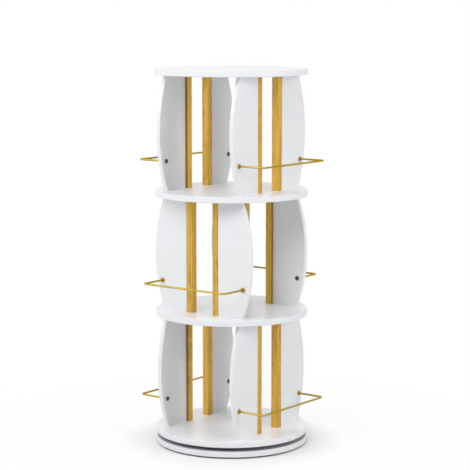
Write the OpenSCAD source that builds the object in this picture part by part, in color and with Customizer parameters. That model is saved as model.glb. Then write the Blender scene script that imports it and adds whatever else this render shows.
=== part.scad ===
// Revolving bookcase: three round tiers that turn together on a ball-bearing base.
// Millimetres. The origin lies on the turning axis at floor level, and +Z is up.
// Each tier has two parallel walls with an open channel between them. A wall is two
// barrel-edged panels and two slim posts round a see-through slot, and outside it a bent
// wire rail guards a display ledge. The middle tier is turned by a quarter turn.

/* [Shelves] */
// Diameter of the round shelves and of the base disc
shelf_d = 400; // [360:5:480]
// Thickness of the shelf boards
shelf_t = 15; // [13:0.5:22]
// Clear height of a tier, from one shelf to the next
tier_h = 301; // [240:1:360]
// Radius of the rounded rims of the shelves and the base disc
rim_r = 1.5; // [0.5:0.25:4]

/* [Walls] */
// Distance between the outer faces of the two walls of a tier
wall_span = 250; // [220:2:280]
// Clear width of a wall between its two panels, which the posts and the slot share
panel_gap = 105; // [85:1:130]
// Thickness of the panel boards
panel_t = 12; // [10:0.5:16]
// How far the widest corner of a panel reaches past the shelf rim
tip_over = 1; // [-6:0.5:2]
// How far the curved edge of a panel draws in from mid-height to the shelves
panel_bulge = 30; // [12:1:40]
// Radius that rounds the curved edge of a panel
edge_r = 1.5; // [0.5:0.25:4]
// Width of a post along the wall
post_w = 19; // [15:0.5:28]
// Depth of a post across the wall
post_t = 19; // [15:0.5:28]
// Radius of the long edges of a post
post_r = 1; // [0.4:0.1:2.5]

/* [Guard rails] */
// Diameter of the rail wire
rail_d = 5; // [4:0.5:6.5]
// Height of the rail above its shelf, to the middle of the wire
rail_up = 77; // [50:1:140]
// How far the long bar lies past the shelf rim, to the middle of the wire
rail_over = 3; // [0:0.5:15]
// Distance from the widest point of a panel to the rail leg
rail_inset = 25; // [20:0.5:40]
// Radius of the bends, to the middle of the wire
rail_bend_r = 9; // [7:0.5:25]
// Diameter of the collar where a leg meets the panel
collar_d = 12.5; // [10:0.5:18]
// Thickness of the collar
collar_t = 3; // [1.5:0.25:6]
// Diameter of the flange of the sleeve nut on the inner face of the panel
nut_d = 12; // [10.5:0.5:18]
// Thickness of that flange
nut_t = 2; // [1.8:0.1:3]
// Wall thickness of the sleeve
sleeve_wall = 0.95; // [0.7:0.05:1.3]
// Panel thickness left between the sleeve nut and the outer face
sleeve_stop = 3.5; // [2:0.5:5]
// Width across flats of the hex socket in the sleeve nut
socket_af = 4; // [3:0.5:5]

/* [Turntable] */
// Thickness of the base disc
base_t = 15; // [13:0.5:22]
// Gap between the base disc and the lowest shelf
turn_gap = 10; // [8.5:0.5:14]
// Outer diameter of the bearing
bearing_d = 250; // [200:5:280]
// Width of the outer bearing ring
outer_ring_w = 14.2; // [13:0.2:20]
// Width of the inner bearing ring
inner_ring_w = 24; // [18:0.5:32]
// Clearance between each ring and the board that it turns against
ring_lift = 1.5; // [0.8:0.1:2]
// Gap between the two rings
race_gap = 1.6; // [1.4:0.1:2]
// Diameter of the balls
ball_d = 4; // [3.5:0.25:4.5]
// Number of balls
ball_count = 36; // [12:2:48]
// Thickness of the ball cage
cage_t = 1; // [0.6:0.1:1.1]
// Height of the strip of cage above and below a ball
cage_rim = 0.8; // [0.5:0.05:0.9]
// Diameter of the hole in the base disc through which the upper ring screws are driven
access_d = 14; // [11:1:18]
// Diameter of the anti-slip pads
pad_d = 24; // [16:1:36]
// Thickness of the anti-slip pads
pad_t = 4; // [2:0.5:6]
// Distance from the rim of the base disc to the edge of a pad
pad_inset = 8; // [5:1:30]
// Number of anti-slip pads
pad_count = 8; // [4:1:12]

/* [Fasteners] */
// Diameter of the dowels between panels and shelves
dowel_d = 6; // [4:0.5:7]
// Length of the dowels
dowel_l = 30; // [24:1:40]
// Distance from the side of a panel's end to the middle of a dowel
dowel_edge = 18; // [10:1:22]
// Shelf thickness kept between dowel holes that come from above and from below
dowel_web = 1; // [0.6:0.2:3]
// Shank diameter of the post screws
post_screw_d = 4; // [3:0.25:5]
// Length of the post screws
post_screw_l = 45; // [38:1:60]
// Diameter of the plugs that cover the upper post screws
plug_d = 10; // [9.5:0.25:13]
// Thickness of the plugs
plug_t = 1.8; // [1.2:0.1:2.5]
// Shank diameter of the bearing screws
ring_screw_d = 3.5; // [3:0.25:4]
// Depth to which the bearing screws enter the boards
ring_screw_bite = 10; // [7:0.5:11]
// Number of screws in each bearing ring
ring_screws = 6; // [4:1:8]

/* [Clearances] */
// Radial clearance of shanks, dowels, wire ends and balls in their seats
fit = 0.05; // [0.02:0.01:0.1]
// Clearance at the blind end of a hole
end_gap = 0.5; // [0.2:0.1:1]
// Depth of a screw head below the face that it is driven into
head_sink = 0.2; // [0.1:0.05:0.4]

/* [Hidden] */
$fn = 128;
eps = 0.01;

// Heights above the floor
base_z = pad_t;
base_top = base_z + base_t;
turn_mid = base_top + turn_gap / 2;
first_shelf_z = base_top + turn_gap;
pitch = tier_h + shelf_t;
function shelf_z(k) = first_shelf_z + k * pitch;
function tier_z(i) = shelf_z(i) + shelf_t;

// Walls, in a tier's own frame: X across the walls, Y along them, Z up from the shelf
shelf_r = shelf_d / 2;
wall_x = wall_span / 2;
panel_in_x = wall_x - panel_t;
gap_y = panel_gap / 2;
tip_y = sqrt(pow(shelf_r + tip_over, 2) - pow(wall_x, 2));
end_y = tip_y - panel_bulge;
edge_arc_r = (pow(tier_h / 2, 2) + pow(panel_bulge, 2)) / (2 * panel_bulge);
post_mid = [wall_x - post_t / 2, gap_y - post_w / 2];
dowel_x = wall_x - panel_t / 2;
dowel_ys = [gap_y + dowel_edge, end_y - dowel_edge];

// Rails and their fittings
rail_x = shelf_r + rail_over;
rail_y = tip_y - rail_inset;
rail_hole_r = rail_d / 2 + fit;
sleeve_r = rail_hole_r + sleeve_wall;
sleeve_l = panel_t - sleeve_stop - end_gap;
nut_web = 1.2;
socket_depth = nut_t - nut_web / 2;
bore_start = nut_web / 2;
leg_end_x = panel_in_x + bore_start + end_gap;
trim_r = 0.7;

// Dowels and post screws
dowel_in_shelf = (shelf_t - dowel_web) / 2;
dowel_in_panel = dowel_l - dowel_in_shelf + end_gap;
dowel_chamfer = 0.6;
head_d_ratio = 2;
post_head_d = head_d_ratio * post_screw_d;
plug_sink = plug_t + head_sink;
// Depth of the pilot hole in a post, for a screw whose head lies this deep in the shelf
function pilot_depth(sink) = post_screw_l - (shelf_t - sink) + end_gap;

// Bearing, from the outside inwards
outer_ring_in_r = bearing_d / 2 - outer_ring_w;
ball_ring_r = outer_ring_in_r - race_gap / 2;
inner_ring_out_r = ball_ring_r - race_gap / 2;
inner_ring_in_r = inner_ring_out_r - inner_ring_w;
ring_h = turn_gap - ring_lift;
race_r = ball_d / 2 + fit;
cage_h = ball_d + 2 * (fit + cage_rim);
ring_head_d = head_d_ratio * ring_screw_d;
ring_screw_l = ring_h - head_sink + ring_screw_bite;
outer_screw_r = (bearing_d / 2 + outer_ring_in_r) / 2;
inner_screw_r = (inner_ring_out_r + inner_ring_in_r) / 2;
ring_bevel = 0.6;
pad_r = shelf_r - pad_inset - pad_d / 2;
pad_bevel = 0.8;
cross_w = 0.9;

// Names: a tier, the side that a wall stands on, and the end of the wall
TIERS = ["lower", "middle", "upper"];
TURN = [0, -90, 0];
SIDES = [["right", "left"], ["front", "back"], ["right", "left"]];
ENDS = [["front", "back"], ["left", "right"], ["front", "back"]];
SHELVES = ["bottom_shelf", "lower_middle_shelf", "upper_middle_shelf", "top_shelf"];
function wall_name(i, w) = str(TIERS[i], "_", SIDES[i][w > 0 ? 0 : 1]);
function spot_name(i, w, e, what) = str(wall_name(i, w), "_", ENDS[i][e > 0 ? 1 : 0], "_", what);
function spots(what) =
    [for (i = [0:2], w = [1, -1], e = [-1, 1]) [spot_name(i, w, e, what), i, w, e]];
PANELS = spots("panel");
POSTS = spots("post");
RAILS = [for (i = [0:2], w = [1, -1]) [str(wall_name(i, w), "_rail"), i, w]];

WHITE = "#f3f3f1";
GOLD_WOOD = "#c0913f";
BRASS = "#c9a24a";
BRONZE = "#6d5230";
STEEL = "#b9bcc0";
ALUMINIUM = "#c8cacc";
RUBBER = "#2b2b2c";
DOWEL_WOOD = "#d9bb8a";
NYLON = "#e6e2d6";

// Placing

// One wall quarter: tier i, wall side w, wall end e
module at_quarter(i, w, e)
    translate([0, 0, tier_z(i)]) rotate(TURN[i])
        mirror([w < 0 ? 1 : 0, 0, 0]) mirror([0, e < 0 ? 1 : 0, 0]) children();

// The four quarters of tier i
module each_quarter(i)
    for (w = [1, -1], e = [-1, 1]) at_quarter(i, w, e) children();

module each_tier_quarter()
    for (i = [0:2]) each_quarter(i) children();

// A ring of copies round the axis, with the first at the given angle
module round_ring(count, r, first = 0)
    for (k = [0:count - 1]) rotate(first + k * 360 / count) translate([r, 0, 0]) children();

// Shared shapes

// A rectangle with corners of radius r on its right side only
module round_sided(w, h, r) {
    square([w - r, h]);
    translate([0, r]) square([w, h - 2 * r]);
    for (y = [r, h - r]) translate([w - r, y]) circle(r, $fn = 48);
}

// A flat round board with a rounded rim
module board_disc(d, t, r)
    rotate_extrude() round_sided(d / 2, t, r);

// A countersunk screw whose head lies at z = 0 and whose shank points down
module screw(d, head_d, l) {
    difference() {
        union() {
            translate([0, 0, -(head_d - d) / 2]) cylinder(h = (head_d - d) / 2, d1 = d, d2 = head_d);
            translate([0, 0, -l + d]) cylinder(h = l - d, d = d);
            translate([0, 0, -l]) cylinder(h = d, d1 = d / 4, d2 = d);
        }
        for (a = [0, 90]) rotate(a)
            translate([-d * 0.6, -cross_w / 2, -d * 0.35]) cube([d * 1.2, cross_w, d]);
    }
}

// The hole that such a screw needs, with its head sunk below z = 0
module screw_hole(d, head_d, depth, sink) {
    translate([0, 0, -depth]) cylinder(h = depth + eps, r = d / 2 + fit);
    translate([0, 0, -sink - (head_d - d) / 2])
        cylinder(h = (head_d - d) / 2, r1 = d / 2 + fit, r2 = head_d / 2 + fit);
    translate([0, 0, -sink]) cylinder(h = sink + eps, r = head_d / 2 + fit);
}

// Base

module base_disc()
    color(WHITE) difference() {
        translate([0, 0, base_z]) board_disc(shelf_d, base_t, rim_r);
        translate([0, 0, base_top - ring_screw_bite - end_gap])
            round_ring(ring_screws, outer_screw_r)
                cylinder(h = ring_screw_bite + end_gap + eps, r = ring_screw_d / 2 + fit);
        translate([inner_screw_r, 0, base_z - eps]) cylinder(h = base_t + 2 * eps, d = access_d);
    }

module base_pads()
    color(RUBBER) round_ring(pad_count, pad_r, 180 / pad_count) {
        cylinder(h = pad_bevel, d1 = pad_d - 2 * pad_bevel, d2 = pad_d);
        translate([0, 0, pad_bevel]) cylinder(h = pad_t - pad_bevel, d = pad_d);
    }

// Section of a bearing ring between two radii, with its free edges bevelled
module ring_section(r_in, r_out)
    polygon([
        [r_in + ring_bevel, 0], [r_out - ring_bevel, 0], [r_out, ring_bevel],
        [r_out, ring_h - ring_bevel], [r_out - ring_bevel, ring_h],
        [r_in + ring_bevel, ring_h], [r_in, ring_h - ring_bevel], [r_in, ring_bevel]]);

// The ball track, to be cut from both rings
module race()
    translate([0, 0, turn_mid]) rotate_extrude()
        translate([ball_ring_r, 0]) circle(race_r, $fn = 48);

module outer_ring()
    color(ALUMINIUM) difference() {
        translate([0, 0, base_top]) rotate_extrude() ring_section(outer_ring_in_r, bearing_d / 2);
        race();
        translate([0, 0, base_top + ring_h]) round_ring(ring_screws, outer_screw_r)
            screw_hole(ring_screw_d, ring_head_d, ring_h + eps, head_sink);
    }

module base_screws()
    color(STEEL) translate([0, 0, base_top + ring_h - head_sink])
        round_ring(ring_screws, outer_screw_r) screw(ring_screw_d, ring_head_d, ring_screw_l);

// Ball cage

module ball_cage()
    color(NYLON) translate([0, 0, turn_mid]) difference() {
        rotate_extrude() translate([ball_ring_r - cage_t / 2, -cage_h / 2]) square([cage_t, cage_h]);
        round_ring(ball_count, ball_ring_r) rotate([0, 90, 0])
            cylinder(h = 2 * cage_t, r = ball_d / 2 + fit, center = true, $fn = 48);
    }

module balls()
    color(STEEL) translate([0, 0, turn_mid])
        round_ring(ball_count, ball_ring_r) sphere(d = ball_d, $fn = 32);

// Carousel: bearing side

module inner_ring()
    color(ALUMINIUM) difference() {
        translate([0, 0, first_shelf_z - ring_h])
            rotate_extrude() ring_section(inner_ring_in_r, inner_ring_out_r);
        race();
        translate([0, 0, first_shelf_z - ring_h]) round_ring(ring_screws, inner_screw_r)
            rotate([180, 0, 0]) screw_hole(ring_screw_d, ring_head_d, ring_h + eps, head_sink);
    }

module turntable_screws()
    color(STEEL) translate([0, 0, first_shelf_z - ring_h + head_sink])
        round_ring(ring_screws, inner_screw_r) rotate([180, 0, 0])
            screw(ring_screw_d, ring_head_d, ring_screw_l);

// Carousel: shelves

// Holes in the shelf that tier i stands on, from its top face and its underside
module holes_for_feet(i) {
    each_quarter(i) {
        for (y = dowel_ys) translate([dowel_x, y, -dowel_in_shelf])
            cylinder(h = dowel_in_shelf + eps, r = dowel_d / 2 + fit);
        translate([post_mid[0], post_mid[1], -shelf_t]) rotate([180, 0, 0])
            screw_hole(post_screw_d, post_head_d, shelf_t + eps, head_sink);
    }
}

// Holes in the shelf that lies on tier i, from its underside and its top face
module holes_for_heads(i) {
    each_quarter(i) translate([0, 0, tier_h]) {
        for (y = dowel_ys) translate([dowel_x, y, -eps])
            cylinder(h = dowel_in_shelf + eps, r = dowel_d / 2 + fit);
        translate([post_mid[0], post_mid[1], shelf_t]) {
            screw_hole(post_screw_d, post_head_d, shelf_t + eps, plug_sink);
            translate([0, 0, -plug_t]) cylinder(h = plug_t + eps, r = plug_d / 2 + fit);
        }
    }
}

module shelf(k)
    color(WHITE) difference() {
        translate([0, 0, shelf_z(k)]) board_disc(shelf_d, shelf_t, rim_r);
        if (k < 3) holes_for_feet(k);
        if (k > 0) holes_for_heads(k - 1);
        if (k == 0) translate([0, 0, first_shelf_z - eps]) round_ring(ring_screws, inner_screw_r)
            cylinder(h = ring_screw_bite + end_gap + eps, r = ring_screw_d / 2 + fit);
    }

// Carousel: walls

// One panel: a slice of a large round-edged disc, which gives it the barrel curve
module panel_blank()
    intersection() {
        translate([panel_in_x, tip_y - edge_arc_r, tier_h / 2]) rotate([0, 90, 0])
            rotate_extrude($fn = 720) round_sided(edge_arc_r, panel_t, edge_r);
        translate([panel_in_x, gap_y, 0]) cube([panel_t, shelf_r, tier_h]);
    }

module panel(i, w, e)
    color(WHITE) at_quarter(i, w, e) difference() {
        panel_blank();
        translate([panel_in_x - eps, rail_y, rail_up]) rotate([0, 90, 0]) {
            cylinder(h = panel_t + 2 * eps, r = rail_hole_r);
            cylinder(h = panel_t - sleeve_stop, r = sleeve_r + fit);
        }
        for (y = dowel_ys) translate([dowel_x, y, 0]) {
            translate([0, 0, -eps]) cylinder(h = dowel_in_panel, r = dowel_d / 2 + fit);
            translate([0, 0, tier_h - dowel_in_panel])
                cylinder(h = dowel_in_panel + eps, r = dowel_d / 2 + fit);
        }
    }

// Section of a post, with rounded corners
module post_section()
    translate([-post_t / 2, -post_w / 2]) {
        translate([post_r, 0]) square([post_t - 2 * post_r, post_w]);
        translate([0, post_r]) square([post_t, post_w - 2 * post_r]);
        for (x = [post_r, post_t - post_r], y = [post_r, post_w - post_r])
            translate([x, y]) circle(post_r, $fn = 32);
    }

module post(i, w, e)
    color(GOLD_WOOD) at_quarter(i, w, e) translate([post_mid[0], post_mid[1], 0]) difference() {
        linear_extrude(tier_h) post_section();
        translate([0, 0, -eps]) cylinder(h = pilot_depth(head_sink), r = post_screw_d / 2 + fit);
        translate([0, 0, tier_h - pilot_depth(plug_sink)])
            cylinder(h = pilot_depth(plug_sink) + eps, r = post_screw_d / 2 + fit);
    }

// Carousel: guard rails

// Half of a rail: a leg, a bend and half of the long bar
module half_rail() {
    bend_x = rail_x - rail_bend_r;
    bend_y = rail_y - rail_bend_r;
    translate([leg_end_x, rail_y, 0]) rotate([0, 90, 0])
        cylinder(h = bend_x - leg_end_x, d = rail_d, $fn = 48);
    translate([bend_x, bend_y, 0]) rotate_extrude(angle = 90)
        translate([rail_bend_r, 0]) circle(d = rail_d, $fn = 48);
    translate([rail_x, 0, 0]) rotate([-90, 0, 0]) cylinder(h = bend_y, d = rail_d, $fn = 48);
}

module rail(i, w)
    color(BRASS) translate([0, 0, tier_z(i) + rail_up]) rotate(TURN[i]) mirror([w < 0 ? 1 : 0, 0, 0])
        for (e = [0, 1]) mirror([0, e, 0]) half_rail();

// A place on the rail axis in every quarter, with +Z pointing away from the wall
module each_leg(x)
    each_tier_quarter() translate([x, rail_y, rail_up]) rotate([0, 90, 0]) children();

module rail_collars()
    color(BRASS) each_leg(wall_x) difference() {
        rotate_extrude() {
            square([collar_d / 2, collar_t - trim_r]);
            square([collar_d / 2 - trim_r, collar_t]);
            translate([collar_d / 2 - trim_r, collar_t - trim_r]) circle(trim_r, $fn = 32);
        }
        translate([0, 0, -eps]) cylinder(h = collar_t + 2 * eps, r = rail_hole_r);
    }

module rail_nuts()
    color(BRONZE) each_leg(panel_in_x) difference() {
        rotate_extrude() {
            translate([0, -nut_t]) square([nut_d / 2 - trim_r, nut_t]);
            translate([0, trim_r - nut_t]) square([nut_d / 2, nut_t - trim_r]);
            translate([nut_d / 2 - trim_r, trim_r - nut_t]) circle(trim_r, $fn = 32);
            square([sleeve_r, sleeve_l]);
        }
        translate([0, 0, bore_start]) cylinder(h = sleeve_l, r = rail_hole_r);
        translate([0, 0, -nut_t - eps])
            cylinder(h = socket_depth, d = socket_af / cos(30), $fn = 6);
    }

// Carousel: hidden fasteners

module dowel()
    rotate_extrude() polygon([
        [0, 0], [dowel_d / 2 - dowel_chamfer, 0], [dowel_d / 2, dowel_chamfer],
        [dowel_d / 2, dowel_l - dowel_chamfer], [dowel_d / 2 - dowel_chamfer, dowel_l], [0, dowel_l]]);

module panel_dowels()
    color(DOWEL_WOOD) each_tier_quarter() for (y = dowel_ys) translate([dowel_x, y, 0]) {
        translate([0, 0, end_gap / 2 - dowel_in_shelf]) dowel();
        translate([0, 0, tier_h + dowel_in_shelf - end_gap / 2 - dowel_l]) dowel();
    }

module post_screws()
    color(STEEL) each_tier_quarter() translate([post_mid[0], post_mid[1], 0]) {
        translate([0, 0, head_sink - shelf_t]) rotate([180, 0, 0])
            screw(post_screw_d, post_head_d, post_screw_l);
        translate([0, 0, tier_h + shelf_t - plug_sink])
            screw(post_screw_d, post_head_d, post_screw_l);
    }

module cover_plugs()
    color(WHITE) each_tier_quarter()
        translate([post_mid[0], post_mid[1], tier_h + shelf_t - plug_t]) cylinder(h = plug_t, d = plug_d);

// Drawing

base_disc();
base_pads();
outer_ring();
base_screws();
ball_cage();
balls();
inner_ring();
turntable_screws();
for (k = [0:3]) shelf(k);
for (p = PANELS) panel(p[1], p[2], p[3]);
for (p = POSTS) post(p[1], p[2], p[3]);
for (r = RAILS) rail(r[1], r[2]);
rail_collars();
rail_nuts();
panel_dowels();
post_screws();
cover_plugs();
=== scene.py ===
import functools
import math

import bmesh
import bpy
from bpy.props import FloatProperty, FloatVectorProperty, IntProperty, PointerProperty
from mathutils import Euler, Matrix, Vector


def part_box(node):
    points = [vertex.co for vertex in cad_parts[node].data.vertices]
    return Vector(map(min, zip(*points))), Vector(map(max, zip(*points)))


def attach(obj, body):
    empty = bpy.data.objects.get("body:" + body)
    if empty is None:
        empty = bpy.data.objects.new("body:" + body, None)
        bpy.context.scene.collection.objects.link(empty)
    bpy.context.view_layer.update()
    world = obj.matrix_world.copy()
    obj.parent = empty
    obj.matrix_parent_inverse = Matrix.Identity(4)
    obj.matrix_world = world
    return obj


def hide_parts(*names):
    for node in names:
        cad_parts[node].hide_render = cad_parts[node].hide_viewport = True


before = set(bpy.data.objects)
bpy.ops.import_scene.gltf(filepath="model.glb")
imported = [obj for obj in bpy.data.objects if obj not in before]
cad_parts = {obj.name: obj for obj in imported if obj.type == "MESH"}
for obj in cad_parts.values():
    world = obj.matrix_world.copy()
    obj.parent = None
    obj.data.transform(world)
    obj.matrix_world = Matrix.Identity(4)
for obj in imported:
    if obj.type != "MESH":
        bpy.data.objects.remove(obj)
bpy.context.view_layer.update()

bl_info = {
    "name": "Revolving bookcase",
    "version": (1, 0, 0),
    "blender": (4, 5, 0),
    "location": "3D View > Sidebar > Bookcase",
    "description": "Finishes the boards, posts, rails and fittings of a revolving bookcase",
    "category": "Object",
}

MM = 0.001
# How deep a dowel stands in a shelf
DOWEL_IN_SHELF = 6.75 * MM

# Places that the fittings share, read from the frame
SHELF_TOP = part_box("bottom_shelf")[1].z
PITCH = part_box("lower_middle_shelf")[1].z - SHELF_TOP
SHELF_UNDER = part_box("bottom_shelf")[0].z
TIER_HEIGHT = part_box("lower_middle_shelf")[0].z - SHELF_TOP
BASE_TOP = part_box("base_disc")[1].z
PANEL_LOW, PANEL_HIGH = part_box("lower_right_back_panel")
POST_MIDDLE = sum(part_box("lower_right_back_post"), Vector()) / 2
POST_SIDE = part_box("lower_right_back_post")[1].y
RAIL_LOW, RAIL_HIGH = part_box("lower_right_rail")
WIRE = RAIL_HIGH.z - RAIL_LOW.z
RAIL_UP = (RAIL_HIGH.z + RAIL_LOW.z) / 2 - SHELF_TOP
RAIL_SPAN = RAIL_HIGH.y - WIRE / 2
PADS_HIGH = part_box("base_pads")[1]
BALLS_LOW, BALLS_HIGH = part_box("balls")
RING_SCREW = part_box("base_screws")[1].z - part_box("base_screws")[0].z

NODES = sorted(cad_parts)
RAILS = [n for n in NODES if n.endswith("_rail")]
BOARDS = [n for n in NODES if n.endswith(("_shelf", "_panel", "base_disc"))]
POSTS = [n for n in NODES if n.endswith("_post")]


# Settings


def setting(kind, **limits):
    """A function that makes settings of one kind."""
    return lambda name, description, value: kind(
        name=name, description=description, default=value, **limits
    )


length = setting(FloatProperty, subtype="DISTANCE", unit="LENGTH", precision=5, min=0)
share = setting(FloatProperty, subtype="FACTOR", min=0, max=1)
level = setting(FloatProperty, min=0)
rotation = setting(FloatProperty, subtype="ANGLE", unit="ROTATION")
number = setting(IntProperty, min=3)
rgba = setting(FloatVectorProperty, subtype="COLOR", size=4, min=0, max=1)


def colour(name, description, value):
    return rgba(name, description, (*value, 1))


def turn_by(name, description, degrees):
    return rotation(name, description, math.radians(degrees))


class BookcaseBoards(bpy.types.PropertyGroup):
    """The white lacquered boards"""

    lacquer: colour("Lacquer", "Colour of the lacquer", (0.855, 0.865, 0.88))
    shade: colour("Shade", "Colour where the lacquer lies a little thinner", (0.825, 0.836, 0.852))
    roughness: share("Roughness", "Mean roughness of the satin lacquer", 0.42)
    peel: length("Peel", "Height of the fine ripple in the sprayed coat", 6e-6)
    # Painted shade: grey for the two faces in the gap over the base disc
    gap_shade: colour("Gap shade", "Colour of the two faces in the gap", (0.54, 0.54, 0.55))


class BookcasePosts(bpy.types.PropertyGroup):
    """The gold-stained posts"""

    light: colour("Light grain", "Colour of the light grain", (0.74, 0.45, 0.060))
    middle: colour("Middle grain", "Colour between the light and dark grain", (0.63, 0.37, 0.044))
    dark: colour("Dark grain", "Colour of the dark grain and the pores", (0.41, 0.22, 0.024))
    gold: share("Gold", "How much the stain shines like metal", 0.4)
    roughness: share("Roughness", "Mean roughness of the varnish", 0.40)
    pore: length("Pore depth", "Depth of the open pores", 5e-5)


class BookcaseRails(bpy.types.PropertyGroup):
    """The bent guard rails with their collars and sleeve nuts"""

    wire: length("Wire", "Diameter of the wire", WIRE)
    bend: length("Bend", "Radius of the bends to the middle of the wire", 9 * MM)
    brass: colour("Brass", "Colour of the brass plate", (0.49, 0.352, 0.055))
    worn: colour("Toned brass", "Colour where the brass is a little darker", (0.395, 0.275, 0.038))
    edge: colour("Edge tint", "Colour of the brass seen at a low angle", (0.80, 0.60, 0.20))
    bronze: colour("Bronze", "Colour of the sleeve nuts", (0.165, 0.122, 0.076))
    roughness: share("Roughness", "Mean roughness of the plate", 0.33)
    collar: length("Collar", "Diameter of a collar", 12.5 * MM)
    collar_height: length("Collar height", "Thickness of a collar", 3 * MM)
    nut: length("Nut flange", "Diameter of the flange of a sleeve nut", 12 * MM)
    nut_height: length("Nut flange height", "Thickness of the flange of a sleeve nut", 2 * MM)
    socket: length("Hex socket", "Width across flats of the socket", 4 * MM)
    socket_depth: length("Socket depth", "Depth of the hex socket", 1.4 * MM)
    sleeve: length("Sleeve", "Diameter of the sleeve of a nut", 7 * MM)
    sleeve_length: length("Sleeve length", "Length of the sleeve in the panel", 8 * MM)


class BookcaseFasteners(bpy.types.PropertyGroup):
    """The screws, plugs and dowels"""

    steel: colour("Steel", "Colour of the zinc-plated steel", (0.60, 0.61, 0.62))
    post_screw: length("Post screw", "Diameter of a post screw over its thread", 4 * MM)
    post_screw_length: length("Post screw length", "Length of a post screw", 45 * MM)
    ring_screw: length("Bearing screw", "Diameter of a bearing screw over its thread", 3.5 * MM)
    ring_screw_length: length("Bearing screw length", "Length of a bearing screw", RING_SCREW)
    sink: length("Sink", "Depth of a screw head below its face", 0.2 * MM)
    plug: length("Plug", "Diameter of a cover plug", 10 * MM)
    plug_height: length("Plug thickness", "Thickness of a cover plug", 1.8 * MM)
    dowel: length("Dowel", "Diameter of a dowel", 6 * MM)
    dowel_length: length("Dowel length", "Length of a dowel", 30 * MM)
    dowel_inset: length("Dowel inset", "From the side of a panel to its first dowel", 18 * MM)
    dowel_spacing: length("Dowel spacing", "Between the two dowels in an end of a panel", 38.9 * MM)
    turn_seed: IntProperty(
        name="Turn seed", description="Seed for how far each screw is turned", min=0, default=7
    )


class BookcaseBearing(bpy.types.PropertyGroup):
    """The bearing, its balls and cage, and the pads under the base"""

    aluminium: colour("Aluminium", "Colour of the turned rings", (0.62, 0.63, 0.64))
    nylon: colour("Nylon", "Colour of the ball cage", (0.74, 0.70, 0.60))
    rubber: colour("Rubber", "Colour of the anti-slip pads", (0.022, 0.022, 0.023))
    ball: length("Ball", "Diameter of a ball", BALLS_HIGH.z - BALLS_LOW.z)
    ball_count: number("Balls", "Number of balls", 36)
    pad: length("Pad", "Diameter of a pad", 24 * MM)
    pad_height: length("Pad height", "Thickness of a pad", PADS_HIGH.z)
    pad_count: number("Pads", "Number of pads", 8)


class BookcaseStage(bpy.types.PropertyGroup):
    """The floor, lamps, world and camera"""

    floor: colour("Floor", "Colour of the floor", (0.72, 0.72, 0.72))
    daylight: level("Daylight", "Strength of the soft light from above", 1.0)
    lamps: level("Lamps", "Level of the four lamps", 1.0)
    camera_distance: length("Camera distance", "From the turning axis to the camera", 4.419)
    camera_height: length("Camera height", "Height of the camera above the floor", 1.155)
    camera_turn: turn_by("Camera turn", "Angle round the axis, from the front", 37.488)
    camera_pitch: turn_by("Camera pitch", "How far the camera looks down", 7.744)
    camera_yaw: turn_by("Camera yaw", "How far it looks past the axis, to the right", 0.116)
    lens: FloatProperty(name="Lens", description="Focal length in mm", min=1, default=129.39)


SETTINGS = {
    "bookcase_boards": BookcaseBoards,
    "bookcase_posts": BookcasePosts,
    "bookcase_rails": BookcaseRails,
    "bookcase_fasteners": BookcaseFasteners,
    "bookcase_bearing": BookcaseBearing,
    "bookcase_stage": BookcaseStage,
}


# Wiring of node trees


class Wiring:
    """Adds nodes to a tree and links what each is given."""

    def __init__(self, tree):
        self.tree = tree

    def node(self, kind, given=None, **options):
        made = self.tree.nodes.new(kind)
        for key, value in options.items():
            setattr(made, key, value)
        for key, value in (given or {}).items():
            self.feed(made.inputs[key], value)
        return made

    def shader(self, kind, given=None, output=0, **options):
        return self.node("ShaderNode" + kind, given, **options).outputs[output]

    def geometry(self, kind, given=None, output=0, **options):
        return self.node("GeometryNode" + kind, given, **options).outputs[output]

    def place(self):
        """Where a point lies on its object."""
        return self.shader("TexCoord", output="Object")

    def feed(self, socket, value):
        if isinstance(value, bpy.types.NodeSocket):
            self.tree.links.new(value, socket)
        else:
            socket.default_value = value

    def math(self, operation, first, second=0.0):
        return self.shader("Math", {0: first, 1: second}, operation=operation)

    def add(self, first, second):
        return self.math("ADD", first, second)

    def times(self, first, second):
        return self.math("MULTIPLY", first, second)

    def blend(self, *terms):
        """The sum of some values, each times its share."""
        return functools.reduce(self.add, [self.times(value, part) for value, part in terms])

    def vector(self, x, y, z):
        return self.shader("CombineXYZ", {0: x, 1: y, 2: z})

    def vector_math(self, operation, given, output=0):
        return self.shader("VectorMath", given, output, operation=operation)

    def split(self, vector):
        return self.node("ShaderNodeSeparateXYZ", {0: vector}).outputs

    def stretched(self, where, scale):
        return self.shader("Mapping", {"Vector": where, "Scale": scale})

    def noise(self, where, scale, detail=2.0, roughness=0.5):
        given = {"Vector": where, "Scale": scale, "Detail": detail, "Roughness": roughness}
        return self.shader("TexNoise", given)

    def range(self, value, low, high, to_low=0.0, to_high=1.0):
        given = {0: value, 1: low, 2: high, 3: to_low, 4: to_high}
        return self.shader("MapRange", given)

    def swing(self, noise, reach):
        """A noise as a change that goes as far down as up."""
        return self.range(noise, 0.3, 0.7, -reach, reach)

    def mixed(self, factor, first, second):
        given = {0: factor, 6: first, 7: second}
        return self.shader("Mix", given, data_type="RGBA", output=2)

    def shaders(self, factor, first, second):
        return self.shader("MixShader", {0: factor, 1: first, 2: second})

    def group(self, tree, given=None):
        return self.node("ShaderNodeGroup", given, node_tree=tree).outputs

    def line(self, count, start, step):
        given = {"Count": count, "Start Location": start, "Offset": step}
        return self.geometry("MeshLine", given)

    def copies(self, points, instance, turn):
        """A copy on each point, turned about Z."""
        turn = self.vector(0.0, 0.0, turn)
        given = {"Points": points, "Instance": instance, "Rotation": turn}
        return self.geometry("InstanceOnPoints", given)

    def stored(self, geometry, name, value, kind="FLOAT"):
        given = {"Geometry": geometry, "Name": name, "Value": value}
        return self.geometry("StoreNamedAttribute", given, data_type=kind)


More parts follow.
